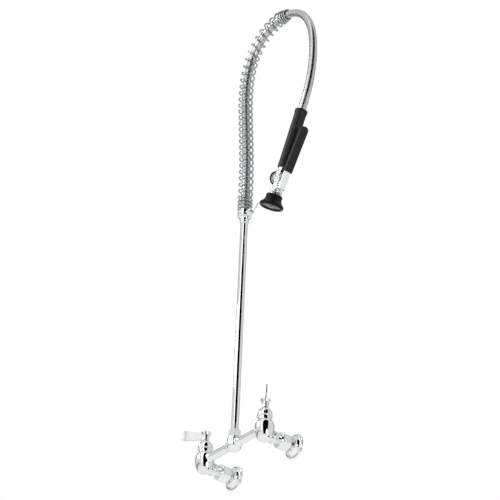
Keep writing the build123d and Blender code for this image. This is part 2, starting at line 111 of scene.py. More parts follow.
floor = stage_sheet("floor", Matrix.Translation((0, 0, -2.7)), 60, 60, 1.0)
floor_skin = floor.data.materials[0].node_tree.nodes["Principled BSDF"]
floor_skin.inputs["Base Color"].default_value = (0.86, 0.86, 0.85, 1.0)
floor_skin.inputs["Roughness"].default_value = 0.7
floor_tree = floor.data.materials[0].node_tree
floor_tree.links.new(floor_skin.outputs["BSDF"], floor_tree.nodes["Material Output"].inputs["Surface"])


def reflection_card(name, aside, elevation, distance, width, height, tone, strength=1.0):
    """A sheet that faces the faucet, so many degrees round from the camera, and shows in the metal only."""
    azimuth = sight_azimuth + math.radians(aside)
    rise = math.radians(elevation)
    towards = Vector((
        math.sin(azimuth) * math.cos(rise), -math.cos(azimuth) * math.cos(rise), math.sin(rise),
    ))
    place = Matrix.Translation(Vector((0.02, reach_y * MM, 0.45)) + towards * distance)
    place = place @ Matrix.Rotation(azimuth, 4, "Z") @ Matrix.Rotation(math.radians(90 - elevation), 4, "X")
    card = stage_sheet(name, place, width, height, tone, strength)
    card.visible_camera = False
    card.visible_shadow = False
    card.visible_diffuse = False
    card.visible_transmission = False
    return card


reflection_card("black_card", 10, 22, 4.0, 4.6, 8.0, 0.0)
reflection_card("white_panel", -31, 34, 4.0, 1.3, 6.5, 1.0, 1.6)
reflection_card("union_card", 77, -33, 3.6, 1.1, 1.9, 0.0)
reflection_card("bridge_strip", -95, -4, 3.6, 3.6, 0.3, 0.0)
reflection_card("back_card_left", -128, 20, 4.0, 1.0, 6.0, 0.12)
reflection_card("back_card_right", 132, 20, 4.0, 1.0, 6.0, 0.12)


def soft_lamp(name, place, size, power):
    """A square area lamp aimed at the middle of the faucet."""
    light = bpy.data.lights.new(name, "AREA")
    light.size = size
    light.energy = power
    lamp = bpy.data.objects.new(name, light)
    lamp.location = place
    lamp.rotation_euler = (Vector(place) - Vector((0.05, reach_y * MM, 0.5))).to_track_quat("Z",
        "Y").to_euler()
    bpy.context.scene.collection.objects.link(lamp)
    return lamp


soft_lamp("key_lamp", (-1.6, -3.4, 2.2), 1.2, 45)
soft_lamp("fill_lamp", (3.4, -0.6, -0.4), 1.0, 14)

# ---------------------------------------------------------------- hose
# Rubber hose in a stainless braid, from the ferrule over the riser up through
# the spring and down into the grip. Its line is one smooth spline.
hose_radius = 9.5
hose_route = [
    (0, 676), (0, 738), (-5, 812), (-12, 890), (-17, 962), (-13, 1028),
    (6, 1083), (41, 1119), (86, 1136), (132, 1134), (173, 1114),
    (204, 1079), (223, 1034), (230, 984), (229, 924), (215.95, 858.93),
    (191.55, 804.12),
]
route_curve = bpy.data.curves.new("hose_route", "CURVE")
route_curve.dimensions = "3D"
route_curve.resolution_u = 16
spline = route_curve.splines.new("NURBS")
spline.points.add(len(hose_route) - 1)
for point, (x, z) in zip(spline.points, hose_route):
    point.co = (x * MM, reach_y * MM, z * MM, 1)
spline.order_u = 3
spline.use_endpoint_u = True
route_object = bpy.data.objects.new("hose_route", route_curve)
bpy.context.scene.collection.objects.link(route_object)
bpy.context.view_layer.update()
route_graph = bpy.context.evaluated_depsgraph_get()
route_mesh = bpy.data.meshes.new_from_object(route_object.evaluated_get(route_graph))
hose_line = [v.co.copy() for v in route_mesh.vertices]
bpy.data.meshes.remove(route_mesh)
bpy.data.objects.remove(route_object)
hose_path = [point / MM for point in hose_line]


def tube_along(path, radius, sides):
    """A round tube extruded ring by ring along a path, in millimetres, with a UV map in the same unit."""
    bm = bmesh.new()
    share = bm.verts.layers.float.new("share")
    travel = bm.verts.layers.float.new("travel")
    places = []
    side = (path[1] - path[0]).orthogonal().normalized()
    for k, centre in enumerate(path):
        heading = (path[min(k + 1, len(path) - 1)] - path[max(k - 1, 0)]).normalized()
        side = (side - heading * side.dot(heading)).normalized()
        turned = Matrix((side, heading.cross(side), heading)).transposed().to_4x4()
        places.append(Matrix.Translation(centre) @ turned)
    ring = bmesh.ops.create_circle(bm, segments=sides, radius=radius, matrix=places[0])["verts"]
    for number, vert in enumerate(ring):
        vert[share] = number / sides
    edges = list(bm.edges)
    covered = 0.0
    for before, after in zip(places, places[1:]):
        covered += (after.translation - before.translation).length
        made = bmesh.ops.extrude_edge_only(bm, edges=edges)["geom"]
        edges = [part for part in made if isinstance(part, bmesh.types.BMEdge)]
        verts = [part for part in made if isinstance(part, bmesh.types.BMVert)]
        bmesh.ops.transform(bm, matrix=after @ before.inverted(), verts=verts)
        for vert in verts:
            vert[travel] = covered
    uv = bm.loops.layers.uv.new("along")
    for face in bm.faces:
        crosses_seam = max(v[share] for v in face.verts) - min(v[share] for v in face.verts) > 0.5
        for loop in face.loops:
            turn = loop.vert[share] + (1.0 if crosses_seam and loop.vert[share] < 0.5 else 0.0)
            loop[uv].uv = (turn * 2 * math.pi * radius, loop.vert[travel])
    bmesh.ops.holes_fill(bm, edges=[edge for edge in bm.edges if edge.is_boundary], sides=0)
    bmesh.ops.recalc_face_normals(bm, faces=bm.faces)
    return bm


def make_piece(name, bm, body, slot, material, *stands_for, sharp=32.0, even=False):
    """Turns a bmesh in millimetres into a finished piece that rides on its body."""
    bmesh.ops.scale(bm, vec=(MM, MM, MM), verts=bm.verts)
    data = bpy.data.meshes.new(name)
    bm.to_mesh(data)
    bm.free()
    data.polygons.foreach_set("use_smooth", [True] * len(data.polygons))
    data.set_sharp_from_angle(angle=math.radians(sharp))
    piece = bpy.data.objects.new(name, data)
    bpy.context.scene.collection.objects.link(piece)
    data.materials.append(material)
    if even:
        piece.modifiers.new("flat faces stay flat", "WEIGHTED_NORMAL").keep_sharp = True
    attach(piece, body)
    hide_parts(*stands_for)
    return piece


def shader_group(name, inputs, outputs):
    """A shader group with named inputs and float outputs: gives back the group, its input and its output."""
    group = bpy.data.node_groups.new(name, "ShaderNodeTree")
    for label, kind, value in inputs:
        socket = group.interface.new_socket(label, in_out="INPUT", socket_type=kind)
        if value is not None:
            socket.default_value = value
    for label in outputs:
        group.interface.new_socket(label, in_out="OUTPUT", socket_type="NodeSocketFloat")
    return group, group.nodes.new("NodeGroupInput"), group.nodes.new("NodeGroupOutput")


def reckon(tree, operation, first, second=None, clamp=False):
    """A Math node with its inputs linked or set."""
    node = tree.nodes.new("ShaderNodeMath")
    node.operation = operation
    node.use_clamp = clamp
    for socket, value in zip(node.inputs, (first, second)):
        if isinstance(value, bpy.types.NodeSocket):
            tree.links.new(value, socket)
        elif value is not None:
            socket.default_value = value
    return node.outputs[0]


def cloud(tree, vector, scale, detail=3.0, roughness=0.5):
    """A noise texture's value at a vector."""
    node = tree.nodes.new("ShaderNodeTexNoise")
    node.inputs["Detail"].default_value = detail
    node.inputs["Roughness"].default_value = roughness
    if isinstance(scale, bpy.types.NodeSocket):
        tree.links.new(scale, node.inputs["Scale"])
    else:
        node.inputs["Scale"].default_value = scale
    tree.links.new(vector, node.inputs["Vector"])
    return node.outputs["Fac"]


# Two sets of crossing strands: each is round across, and by turns over and
# under the other. The gaps between them show the dark rubber.
braid, braid_in, braid_out = shader_group(
    "steel braid",
    [("Vector", "NodeSocketVector", None), ("Strands", "NodeSocketFloat", 24.0),
     ("Girth", "NodeSocketFloat", 60.0)],
    ["Height", "Gap", "Over"],
)
split = braid.nodes.new("ShaderNodeSeparateXYZ")
braid.links.new(braid_in.outputs["Vector"], split.inputs[0])
pitch = reckon(braid, "DIVIDE", braid_in.outputs["Strands"], braid_in.outputs["Girth"])
round_it = reckon(braid, "MULTIPLY", split.outputs["X"], pitch)
along_it = reckon(braid, "MULTIPLY", reckon(braid, "MULTIPLY", split.outputs["Y"], pitch), 0.7)
lanes = [reckon(braid, "ADD", round_it, along_it), reckon(braid, "SUBTRACT", round_it, along_it)]
rises = []
turns = []
for lane in lanes:
    across = reckon(braid, "SUBTRACT", reckon(braid, "FRACT", lane), 0.5)
    bulge = reckon(braid, "MULTIPLY", reckon(braid, "MULTIPLY", across, across), 4.0)
    rises.append(reckon(braid, "SUBTRACT", 1.0, bulge, clamp=True))
    turns.append(reckon(braid, "FLOORED_MODULO", reckon(braid, "FLOOR", lane), 2.0))
over = reckon(braid, "ABSOLUTE", reckon(braid, "SUBTRACT", turns[0], turns[1]))
under = reckon(braid, "SUBTRACT", 1.0, over)
heights = []
for rise, is_over in zip(rises, (over, under)):
    lift = reckon(braid, "ADD", reckon(braid, "MULTIPLY", is_over, 0.5), 0.5)
    heights.append(reckon(braid, "MULTIPLY", rise, lift))
top = reckon(braid, "MAXIMUM", heights[0], heights[1])
braid.links.new(top, braid_out.inputs["Height"])
braid.links.new(reckon(braid, "SUBTRACT", 1.0, reckon(braid, "MULTIPLY", top, 1.7), clamp=True),
                braid_out.inputs["Gap"])
braid.links.new(over, braid_out.inputs["Over"])


def new_material(name):
    """A node material: gives back the material, its tree and its Principled shader."""
    material = bpy.data.materials.new(name)
    material.use_nodes = True
    return material, material.node_tree, material.node_tree.nodes["Principled BSDF"]


def two_tones(tree, factor, low, high):
    """A colour between two, by a factor from 0 to 1."""
    mix = tree.nodes.new("ShaderNodeMix")
    mix.data_type = "RGBA"
    tree.links.new(factor, mix.inputs["Factor"])
    mix.inputs[6].default_value = (*low, 1.0)
    mix.inputs[7].default_value = (*high, 1.0)
    return mix.outputs[2]


def spread(tree, factor, low, high):
    """A factor from 0 to 1 spread over another range."""
    node = tree.nodes.new("ShaderNodeMapRange")
    node.inputs["To Min"].default_value = low
    node.inputs["To Max"].default_value = high
    tree.links.new(factor, node.inputs["Value"])
    return node.outputs["Result"]


def raised(tree, skin, height, distance, strength=1.0):
    """Raises the surface by a height map; the distance is in metres."""
    bump = tree.nodes.new("ShaderNodeBump")
    bump.inputs["Strength"].default_value = strength
    bump.inputs["Distance"].default_value = distance
    tree.links.new(height, bump.inputs["Height"])
    tree.links.new(bump.outputs["Normal"], skin.inputs["Normal"])


def placed_group(tree, group, **values):
    """A shader group placed in a material, with its own values and its vector linked."""
    node = tree.nodes.new("ShaderNodeGroup")
    node.node_tree = group
    for label, value in values.items():
        if isinstance(value, bpy.types.NodeSocket):
            tree.links.new(value, node.inputs[label])
        else:
            node.inputs[label].default_value = value
    return node.outputs


def own_place(tree):
    """Object coordinates, in metres."""
    return tree.nodes.new("ShaderNodeTexCoord").outputs["Object"]


braided_steel, tree, skin = new_material("braided steel")
skin.inputs["Metallic"].default_value = 1.0
along = tree.nodes.new("ShaderNodeUVMap")
along.uv_map = "along"
weave = placed_group(tree, braid, Vector=along.outputs["UV"], Strands=22.0, Girth=2 * math.pi * hose_radius)
tree.links.new(two_tones(tree, weave["Gap"], (0.66, 0.67, 0.68), (0.03, 0.03, 0.03)),
               skin.inputs["Base Color"])
tree.links.new(spread(tree, weave["Over"], 0.12, 0.20), skin.inputs["Roughness"])
raised(tree, skin, weave["Height"], 0.0004, 0.3)
hose = make_piece(
    "braided_hose", tube_along(hose_path, hose_radius, 36), "riser", "steel_hose", braided_steel, "hose",
)

# ---------------------------------------------------------------- overhead spring
# Coil of drawn stainless wire, wound left-handed, that stands on the collar
# and carries the hose over. Its last turns close in and grip the hose.
wire_radius = 2.0
coil_radius = 15.6
grip_radius = 12.2
open_pitch = 18.5
closed_pitch = 9.5
end_pitch = 6.5
end_run = 26.0
closed_turns = 3.5
steps_per_turn = 36
spring_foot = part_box("hook_collar")[1].z / MM + wire_radius
straight_run = hose_route[0][1] - spring_foot
spring_run = straight_run + 555.0


def coil_station(travel):
    """Middle of the coil and its heading, so far up the spring."""
    if travel < straight_run:
        return Vector((0, reach_y, spring_foot + travel)), Vector((0, 0, 1))
    left = travel - straight_run
    for a, b in zip(hose_path, hose_path[1:]):
        run = (b - a).length
        if left <= run:
            return a + (b - a) * (left / run), (b - a).normalized()
        left -= run
    return hose_path[-1], (hose_path[-1] - hose_path[-2]).normalized()


coil = []
travel = 0.0
turns_made = 0.0
while travel < spring_run:
    remaining = spring_run - travel
    radius = coil_radius
    pitch = closed_pitch if turns_made < closed_turns else open_pitch
    if remaining < end_run:
        radius = grip_radius + (coil_radius - grip_radius) * max(0.0, (remaining - 6.0) / (end_run - 6.0))
        pitch = end_pitch
    centre, heading = coil_station(travel)
    outward = heading.cross(Vector((0, 1, 0))).normalized()
    angle = -2 * math.pi * turns_made
    coil.append(centre + outward * (radius * math.cos(angle)) + Vector((0, -1,
        0)) * (radius * math.sin(angle)))
    travel += pitch / steps_per_turn
    turns_made += 1 / steps_per_turn

# Finger marks and fine wiping scratches, shared by every bright metal
marks, marks_in, marks_out = shader_group(
    "handling marks",
    [("Vector", "NodeSocketVector", None), ("Size", "NodeSocketFloat", 40.0),
     ("Scratches", "NodeSocketFloat", 0.3)],
    ["Mask", "Height", "Tone"],
)
smudge = cloud(marks, marks_in.outputs["Vector"], marks_in.outputs["Size"], 4.0)
patch = reckon(marks, "ADD", reckon(marks, "MULTIPLY", reckon(marks, "SUBTRACT", smudge, 0.5), 2.5), 0.3,
               clamp=True)
stretch = marks.nodes.new("ShaderNodeMapping")
stretch.inputs["Scale"].default_value = (1100.0, 1100.0, 70.0)
stretch.inputs["Rotation"].default_value = (0.5, 0.3, 0.2)
marks.links.new(marks_in.outputs["Vector"], stretch.inputs["Vector"])
hairs = reckon(marks, "SUBTRACT", cloud(marks, stretch.outputs["Vector"], 1.0, 2.0, 0.6), 0.6, clamp=True)
hairs = reckon(marks, "MULTIPLY", hairs, marks_in.outputs["Scratches"])
marks.links.new(reckon(marks, "ADD", patch, reckon(marks, "MULTIPLY", hairs, 3.0), clamp=True),
                marks_out.inputs["Mask"])
marks.links.new(hairs, marks_out.inputs["Height"])
marks.links.new(smudge, marks_out.inputs["Tone"])


def bright_metal(name, low, high, polish, rough, size, scratches, relief):
    """A bright metal with finger marks, from one tone and polish to another."""
    material, tree, skin = new_material(name)
    skin.inputs["Metallic"].default_value = 1.0
    found = placed_group(tree, marks, Vector=own_place(tree), Size=size, Scratches=scratches)
    tree.links.new(two_tones(tree, found["Tone"], low, high), skin.inputs["Base Color"])
    tree.links.new(spread(tree, found["Mask"], polish, rough), skin.inputs["Roughness"])
    raised(tree, skin, found["Height"], relief)
    return material


spring_wire = bright_metal(
    "drawn spring wire", (0.34, 0.35, 0.36), (0.56, 0.57, 0.59), 0.12, 0.24, 70.0, 0.7, 0.00004,
)
make_piece(
    "coil_spring", tube_along(coil, wire_radius, 14), "riser", "spring_steel", spring_wire,
    "overhead_spring",
)

# ---------------------------------------------------------------- valve body
# One brass casting, chrome plated: two goblet barrels, the stubs behind them,
# the bridge between them and the round boss that takes the riser.
half_spacing = (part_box("left_bonnet")[0].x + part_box("left_bonnet")[1].x) / -2 / MM
bridge_z = 14.0


def arc(start, middle, end, steps=7):
    """Corners of an outline on the circle through three (radius, height) points."""
    (ax, ay), (bx, by), (cx, cy) = start, middle, end
    d = 2 * (ax * (by - cy) + bx * (cy - ay) + cx * (ay - by))
    a, b, c = ax * ax + ay * ay, bx * bx + by * by, cx * cx + cy * cy
    ux = (a * (by - cy) + b * (cy - ay) + c * (ay - by)) / d
    uy = (a * (cx - bx) + b * (ax - cx) + c * (bx - ax)) / d
    first, mid, last = (math.atan2(y - uy, x - ux) for x, y in (start, middle, end))
    while mid < first:
        mid += 2 * math.pi
    while last < first:
        last += 2 * math.pi
    sweep = last - first if mid <= last else last - first - 2 * math.pi
    reach = math.hypot(ax - ux, ay - uy)
    return [
        (ux + reach * math.cos(first + sweep * k / steps), uy + reach * math.sin(first + sweep * k / steps))
        for k in range(steps + 1)
    ]


def turned(bm, outline, place, soften=0.4, steps=72):
    """Spins an outline of (radius, height) corners about the upright axis, and softens its sharp edges."""
    lathe = bmesh.new()
    corners = [lathe.verts.new((r, 0, z)) for r, z in outline]
    edges = [lathe.edges.new(pair) for pair in zip(corners, corners[1:])]
    if outline[0][0] > 0:
        edges.append(lathe.edges.new((corners[-1], corners[0])))
    bmesh.ops.spin(
        lathe, geom=corners + edges, cent=(0, 0, 0), axis=(0, 0, 1), angle=2 * math.pi, steps=steps,
        use_merge=True,
    )
    bmesh.ops.remove_doubles(lathe, verts=lathe.verts, dist=0.0005)
    bmesh.ops.recalc_face_normals(lathe, faces=lathe.faces)
    soften_edges(lathe, soften)
    bmesh.ops.transform(lathe, matrix=place, verts=lathe.verts)
    add_shell(bm, lathe)


def soften_edges(bm, width, segments=2, above=28.0):
    """Bevels every edge sharper than an angle."""
    if width > 0:
        limit = math.radians(above)
        sharp = [e for e in bm.edges if len(e.link_faces) == 2 and e.calc_face_angle(0.0) > limit]
        bmesh.ops.bevel(
            bm, geom=sharp, offset=width, offset_type="OFFSET", segments=segments, profile=0.5,
            affect="EDGES", clamp_overlap=True, material=-1,
        )


def add_shell(bm, shell):
    """Adds one closed shell to a piece, and frees it."""
    kept = bpy.data.meshes.new("shell")
    shell.to_mesh(kept)
    shell.free()
    bm.from_mesh(kept)
    bpy.data.meshes.remove(kept)


def upright(x, y=None):
    """A place for a shape that stands upright at x."""
    return Matrix.Translation((x, reach_y if y is None else y, 0))


def towards_wall(x, y):
    """A place for a shape whose top points to the wall."""
    return Matrix.Translation((x, y, 0)) @ Matrix.Rotation(math.radians(-90), 4, "X")


chrome = bright_metal("chrome plate", (0.84, 0.85, 0.86), (0.93, 0.94, 0.95), 0.045, 0.11, 45.0, 0.3,
                      0.00002)
casting = bmesh.new()
for x in (-half_spacing, half_spacing):
    turned(casting, [(0, -15), (13, -15), *arc((15, -13), (19.9, 0), (21.5, 14), 9),
                     *arc((21.5, 14), (20.7, 22), (17.5, 28), 6)[1:], (14.2, 28), (14.2, 19.2),
                     (10.6, 19.2), (10.6, 9),
                     (5.5, 9), (5.5, 4), (0, 4)],
           upright(x))
    turned(casting, [(0, 10), (13.6, 10), *arc((13.6, 17.4), (12.1, 18.4), (11.5, 19.8), 4), (13.6, 20),
                     *arc((14.4, 20.4), (15.0, 23.5), (14.4, 26.6), 5), (13.6, 27), (11.5, 27.2),
                     (11.5, 46), (0, 46)],
           towards_wall(x, reach_y), 0.3)
bridge = [(0, -half_spacing + 12), (8.2, -half_spacing + 12), (11.6, -half_spacing + 17),
          *arc((11.6, -half_spacing + 19), (9.7, -half_spacing + 22), (9, -half_spacing + 26), 5),
          *arc((9, -25), (9.8, -20), (12.2, -15.4), 5), (12.2, 0)]
bridge = bridge + [(r, -z) for r, z in reversed(bridge[:-1])]
along_bridge = Matrix.Translation((0, reach_y, bridge_z)) @ Matrix.Rotation(math.radians(90), 4, "Y")
turned(casting, bridge, along_bridge, 0)
turned(casting, [(0, -1.5), (5, -1.5), *arc((6, -1.5), (13.2, 1.8), (16.5, 9), 8), (16.5, 25), (14.5, 27),
                 (10.9, 27), (10.9, 32), (0, 32)], upright(0), 0.5)
make_piece("valve_casting", casting, "base", "chrome", chrome, "mixing_body")

# ---------------------------------------------------------------- inlet unions
# Behind each barrel a hexagonal union nut joins the stub to a short arm, which
# screws on the pipe in the wall. A domed flange hides the hole.
union_flats = 35.0


def milled_nut(bm, flats, bore, height, place, chamfer=1.6):
    """A nut turned with chamfered ends, then milled to six flats."""
    corner = flats / 2 / math.cos(math.pi / 6) + 0.2
    edge = flats / 2 - 0.3
    outline = [(bore, 0), (edge, 0), *[(edge + (corner - edge) * k / 5, chamfer * k / 5) for k in range(1,
        6)],
               (corner, height / 2), *[(corner - (corner - edge) * k / 5,
                                        height - chamfer + chamfer * k / 5) for k in range(6)],
               (bore, height)]
    nut = bmesh.new()
    turned(nut, outline, Matrix.Identity(4), 0, steps=96)
    for vert in nut.verts:
        turn = math.atan2(vert.co.y, vert.co.x)
        from_flat = (turn + math.pi / 6) % (math.pi / 3) - math.pi / 6
        most = flats / 2 / math.cos(from_flat)
        reach = math.hypot(vert.co.x, vert.co.y)
        if reach > most:
            vert.co.x *= most / reach
            vert.co.y *= most / reach
    soften_edges(nut, 0.3, above=40)
    bmesh.ops.transform(nut, matrix=place, verts=nut.verts)
    add_shell(bm, nut)


for side, x in (("left", -half_spacing), ("right", half_spacing)):
    nut = bmesh.new()
    milled_nut(nut, union_flats, 11.6, 24, towards_wall(x, -46), 2.4)
    make_piece(side + "_hex_nut", nut, "base", "chrome", chrome, side + "_union_nut", even=True)
    arm = bmesh.new()
    turned(arm, [(7, 0), (13.9, 0), (13.9, 4), (11.5, 4.4), (11.5, 18),
                 *arc((11.5, 22), (12.4, 25), (15, 26.4), 4),
                 (15, 38), (10.2, 38), (10.2, 26), (7, 26)], towards_wall(x, -38), 0.3)
    make_piece(side + "_wall_arm", arm, "base", "chrome", chrome, side + "_inlet_arm", even=True)
    cover = bmesh.new()
    facing_out = Matrix.Translation((x, 0, 0)) @ Matrix.Rotation(math.radians(90), 4, "X")
    turned(cover, [(15.1, 0), (28.5, 0), (28.5, 2.2), *arc((27.6, 3.2), (21.2, 6.6), (18.7, 13.8), 9),
                   (17.6, 15),
                   (15.1, 15)], facing_out, 0.5, steps=96)
    make_piece(side + "_flange_cover", cover, "base", "chrome", chrome, side + "_wall_flange", even=True)

# ---------------------------------------------------------------- valve tops
# Plated collar of the cartridge, the domed bonnet screwed over it, and the
# spindle that comes out of its top.
for side, x in (("left", -half_spacing), ("right", half_spacing)):
    collar = bmesh.new()
    turned(collar, [(9, 19.5), (13.9, 19.5), (13.9, 28), (15.6, 28),
                    *arc((15.6, 29), (14.7, 33), (15.2, 38.5), 5),
                    (13, 38.5), (13, 44.4), (7, 44.4), (7, 33.5), (4.1, 33.5), (4.1, 28.5), (9, 28.5)],
                    upright(x), 0.3)
    make_piece(side + "_collar", collar, "base", "chrome", chrome, side + "_cartridge", even=True)
    dome = bmesh.new()
    turned(dome, [(13.1, 38.5), (17.0, 38.5), *arc((17.4, 38.6), (18, 39.8), (17.2, 41.2), 5), (16.6, 41.5),
                  *arc((16.6, 42), (14.9, 52.6), (7.9, 60.6), 12), (7.6, 61), (4.6, 61), (4.6, 58.8),
                  (7, 58.6),
                  *arc((7, 58.6), (11.6, 54), (13.1, 45.5), 6)], upright(x), 0.2)
    make_piece(side + "_dome_bonnet", dome, "base", "chrome", chrome, side + "_bonnet")

# ---------------------------------------------------------------- handles
# Each handle is one chrome casting: a flared hub on the spindle and a thin
# upright blade that grows taller and thicker to its tip.
blade_reach = 54.0
handle_splay = 52.0
brushed_chrome = bright_metal(
    "brushed chrome", (0.60, 0.61, 0.62), (0.70, 0.71, 0.72), 0.26, 0.34, 45.0, 0.6, 0.00002,
)
for side, x in (("left", -half_spacing), ("right", half_spacing)):
    grip = bmesh.new()
    turned(grip, [(4.1, 62.6), (7.2, 62.6), *arc((7.5, 63), (8.3, 73), (10.6, 80.6), 8),
                  *arc((10.9, 81.2), (11.5, 81.9), (11, 82.5), 4),
                  (8.2, 82.5), (8, 82), (8, 75), (2.1, 75), (2.1, 71), (4.1, 71)], Matrix.Identity(4), 0.25)
    blade = bmesh.new()
    bmesh.ops.create_cube(blade, size=1.0)
    bmesh.ops.subdivide_edges(
        blade, edges=[e for e in blade.edges if abs(e.verts[0].co.x - e.verts[1].co.x) > 0.5], cuts=14,
    )
    for vert in blade.verts:
        share = vert.co.x + 0.5
        low = 64.5 + 2.3 * share + 3.0 * max(0.0, share - 0.94) / 0.06
        high = 80.5 + 12.2 * share ** 0.9 - 3.0 * max(0.0, share - 0.94) / 0.06
        swell = 1.7 + 1.3 * max(0.0, share - 0.8) / 0.2
        swell *= 0.62 if vert.co.x > 0.49 else 1.0
        vert.co = Vector((5 + (blade_reach - 5) * share, 2 * swell * vert.co.y,
                          low + (high - low) * (vert.co.z + 0.5)))
    soften_edges(blade, 1.1, 3)
    for face in blade.faces:
        face.material_index = 1
    add_shell(grip, blade)
    heading = -90 + handle_splay if x > 0 else -90 - handle_splay
    bmesh.ops.transform(grip, matrix=upright(x) @ Matrix.Rotation(math.radians(heading), 4, "Z"),
                        verts=grip.verts)
    handle = make_piece(side + "_lever_handle", grip, side + "_handle_set", "chrome", chrome,
                        side + "_handle", even=True)
    handle.data.materials.append(brushed_chrome)

# ---------------------------------------------------------------- index buttons
# A plain domed plastic button in the top of each hub: red on the hot side and
# blue on the cold side.
def moulded(name, low, high, polish, rough, coat, relief, pits):
    """A moulded plastic with a fine skin, from one tone to another."""
    material, tree, skin = new_material(name)
    where = own_place(tree)
    mottle = cloud(tree, where, 90.0, 3.0)
    skin.inputs["Coat Weight"].default_value = coat
    skin.inputs["Coat Roughness"].default_value = 0.08
    tree.links.new(two_tones(tree, mottle, low, high), skin.inputs["Base Color"])
    tree.links.new(spread(tree, mottle, polish, rough), skin.inputs["Roughness"])
    raised(tree, skin, cloud(tree, where, pits, 2.0, 0.6), relief)
    return material


for side, x, index_slot, low, high in (
    ("left", -half_spacing, "hot_index", (0.42, 0.012, 0.010), (0.52, 0.020, 0.016)),
    ("right", half_spacing, "cold_index", (0.010, 0.035, 0.30), (0.016, 0.055, 0.40)),
):
    button = bmesh.new()
    turned(button, [(0, 78.6), (7.6, 78.6), (7.9, 79), (7.9, 81.9),
                    *arc((7.5, 82.6), (4, 83.65), (0, 84), 6)],
           upright(x), 0.2, steps=48)
    make_piece(side + "_button", button, side + "_handle_set", index_slot,
               moulded(index_slot + " plastic", low, high, 0.22, 0.32, 0.6, 0.00003, 900.0),
               side + "_index_button")

# ---------------------------------------------------------------- riser
# Polished steel pipe that turns in the boss, held there by a small hexagonal
# gland nut. The spring's seat is screwed on its top.
riser_radius = 8.55
polished_tube, tree, skin = new_material("drawn and polished tube")
skin.inputs["Metallic"].default_value = 1.0
lengthwise = tree.nodes.new("ShaderNodeMapping")
lengthwise.inputs["Scale"].default_value = (1400.0, 1400.0, 12.0)
tree.links.new(own_place(tree), lengthwise.inputs["Vector"])
draw_lines = cloud(tree, lengthwise.outputs["Vector"], 1.0, 2.0, 0.6)
found = placed_group(tree, marks, Vector=own_place(tree), Size=25.0, Scratches=0.2)
tree.links.new(two_tones(tree, found["Tone"], (0.82, 0.83, 0.84), (0.92, 0.93, 0.94)),
               skin.inputs["Base Color"])
tree.links.new(spread(tree, found["Mask"], 0.05, 0.11), skin.inputs["Roughness"])
raised(tree, skin, draw_lines, 0.000012, 0.6)
pipe = bmesh.new()
turned(pipe, [(6.3, 14.5), (riser_radius, 14.5), (riser_radius, 618), (6.3, 618)], upright(0), 0.3,
       steps=96)
make_piece("riser_tube", pipe, "riser", "chrome", polished_tube, "riser_pipe")
gland = bmesh.new()
milled_nut(gland, 25.0, 8.65, 17, upright(0) @ Matrix.Translation((0, 0, 30)), 1.8)
make_piece("riser_nut", gland, "base", "chrome", chrome, "riser_gland_nut", even=True)

# ---------------------------------------------------------------- riser top
# Turned seat inside the spring's foot, the collar clamped round it with a boss
# for the hook's wire, the hose nut above, and the hose's crimped ferrule.
seat = bmesh.new()
turned(seat, [(riser_radius + 0.05, 590), (9.9, 590), (10.6, 590.7), (10.6, 594), (10.2, 594.5),
              (10.2, 596), (10.6, 596.5),
              (10.6, 602), (12.9, 604.5), (12.9, 636), (9, 638), (9, 648), (4.5, 648), (4.5, 618),
              (riser_radius + 0.05, 618)],
       upright(0), 0.25)
make_piece("turned_seat", seat, "riser", "chrome", chrome, "spring_seat", even=True)
collar = bmesh.new()
turned(collar, [(12.9, 606), (15.6, 606), (16.5, 607), (16.5, 611.6), (16.1, 612.2), (16.1, 615.8),
                (16.5, 616.4), (16.5, 621),
                (15.6, 622), (12.9, 622)], upright(0), 0.3)
sideways = Matrix.Translation((0, reach_y, 614)) @ Matrix.Rotation(math.radians(90), 4, "Y")
turned(collar, [(0, 14), (7.9, 14), (7.9, 25.8), *arc((7.7, 26.4), (7.1, 26.9), (6.4, 27), 4), (4.6, 27),
                (4.3, 26.6),
                (4.3, 25.4), (2.6, 25), (2.6, 22), (0, 22)], sideways, 0.25)
make_piece("clamp_collar", collar, "riser", "chrome", chrome, "hook_collar", even=True)
nut = bmesh.new()
turned(nut, [(9.1, 638), (12.2, 638), (12.6, 638.6), (12.6, 653.2), (12, 654), (6, 654), (6, 649.5),
             (9.1, 649.5)], upright(0), 0.25)
for ridge in range(24):
    turn = 2 * math.pi * ridge / 24
    knurl = bmesh.new()
    bmesh.ops.create_cube(knurl, size=1.0)
    place = upright(0) @ Matrix.Rotation(turn, 4,
                                         "Z") @ Matrix.Translation((12.3, 0, 646)) @ Matrix.Diagonal((0.9,
                                             1.3, 12, 1))
    bmesh.ops.transform(knurl, matrix=place, verts=knurl.verts)
    soften_edges(knurl, 0.2, 1)
    add_shell(nut, knurl)
make_piece("knurled_hose_nut", nut, "riser", "chrome", chrome, "hose_nut", even=True)
plain_steel = bright_metal("plain stainless steel", (0.50, 0.50, 0.50), (0.66, 0.66, 0.67), 0.2, 0.34, 80.0,
                           0.8, 0.00004)
crimp = bmesh.new()
turned(crimp, [(4.5, 649.5), (5.9, 649.5), (5.9, 654), (10.4, 654), (11.2, 655.2), (11.2, 659), (10.5, 660),
               (10.5, 661.6), (11.2, 662.6),
               (11.2, 666), (10.5, 667), (10.5, 668.6), (11.2, 669.6), (11.2, 674.6), (10.5, 676),
               (4.5, 676)], upright(0), 0.2)
make_piece("crimped_ferrule", crimp, "riser", "steel", plain_steel, "lower_ferrule", even=True)

# ---------------------------------------------------------------- hook
# Bent chrome wire: its shank is clamped in the collar's boss, and its open
# ring holds the handset by the groove in its neck.
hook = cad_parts["finger_hook"]
hook.data.materials.clear()
hook.data.materials.append(chrome)

